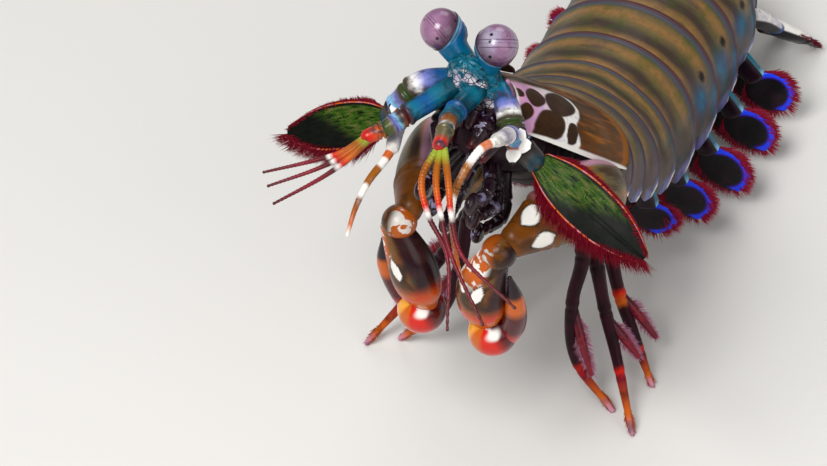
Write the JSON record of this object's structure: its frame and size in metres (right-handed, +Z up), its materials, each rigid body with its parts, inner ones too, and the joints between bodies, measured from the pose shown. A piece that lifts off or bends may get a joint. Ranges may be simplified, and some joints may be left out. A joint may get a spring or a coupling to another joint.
{
  "type": "peacock mantis shrimp",
  "caption": "Life-size peacock mantis shrimp, front raised on its walking legs, folded clubs below the head, eyes on stalks, tail fan resting on the floor.",
  "frame": {"origin": "on the floor, under the middle of the animal's bounding box", "axes": "+Z up, -Y towards the head, +X towards the animal's left side"},
  "size_m": [0.0686, 0.1516, 0.09],
  "materials": {
    "carapace": "hard glossy shell, dark brown cells in a pale net",
    "thorax": "glossy shell, olive and gold with purple grey",
    "abdomen": "glossy shell, olive and gold with teal spots",
    "telson": "glossy shell with ridges",
    "head": "satin shell, teal and blue",
    "trunk": "soft underside",
    "eye_stalk": "blue cup",
    "cornea": "faceted eye with a midband",
    "antenna": "banded",
    "antennule": "banded, orange to red",
    "antenna_scale": "olive blade with a red fringe",
    "raptorial_merus": "olive gold shell",
    "raptorial_palm": "brown and orange shell with white spots",
    "raptorial_club": "hard polished red heel",
    "mouthpart": "plum",
    "leg": "plum and crimson",
    "pleopod": "dark plum with a blue rim and a crimson fringe",
    "tail_fan": "dark blades with a red fringe"
  },
  "bodies": {
    "root": {"carapace": "carapace", "head": "head", "rostrum": "head", "trunk": "trunk", "eye_left": "cornea", "eye_right": "cornea", "eye_stalk_left": "eye_stalk", "eye_stalk_right": "eye_stalk", "abdomen_1": "abdomen", "abdomen_2": "abdomen", "abdomen_3": "abdomen", "abdomen_4": "abdomen", "abdomen_5": "abdomen", "abdomen_6": "abdomen", "antenna_left": "antenna", "antenna_right": "antenna", "antenna_scale_left": "antenna_scale", "antenna_scale_right": "antenna_scale", "antennule_left": "antennule", "antennule_right": "antennule", "leg_1_left": "leg", "leg_1_right": "leg", "leg_2_left": "leg", "leg_2_right": "leg", "leg_3_left": "leg", "leg_3_right": "leg", "maxilliped_1_left": "mouthpart", "maxilliped_1_right": "mouthpart", "maxilliped_3_left": "mouthpart", "maxilliped_3_right": "mouthpart", "maxilliped_4_left": "mouthpart", "maxilliped_4_right": "mouthpart", "maxilliped_5_left": "mouthpart", "maxilliped_5_right": "mouthpart", "pleopod_1_left": "pleopod", "pleopod_1_right": "pleopod", "pleopod_2_left": "pleopod", "pleopod_2_right": "pleopod", "pleopod_3_left": "pleopod", "pleopod_3_right": "pleopod", "pleopod_4_left": "pleopod", "pleopod_4_right": "pleopod", "pleopod_5_left": "pleopod", "pleopod_5_right": "pleopod", "raptorial_club_left": "raptorial_club", "raptorial_club_right": "raptorial_club", "raptorial_merus_left": "raptorial_merus", "raptorial_merus_right": "raptorial_merus", "raptorial_palm_left": "raptorial_palm", "raptorial_palm_right": "raptorial_palm", "telson": "telson", "thorax_6": "thorax", "thorax_7": "thorax", "thorax_8": "thorax", "uropod_endopod_left": "tail_fan", "uropod_endopod_right": "tail_fan", "uropod_left": "tail_fan", "uropod_right": "tail_fan"}
  },
  "joints": []
}
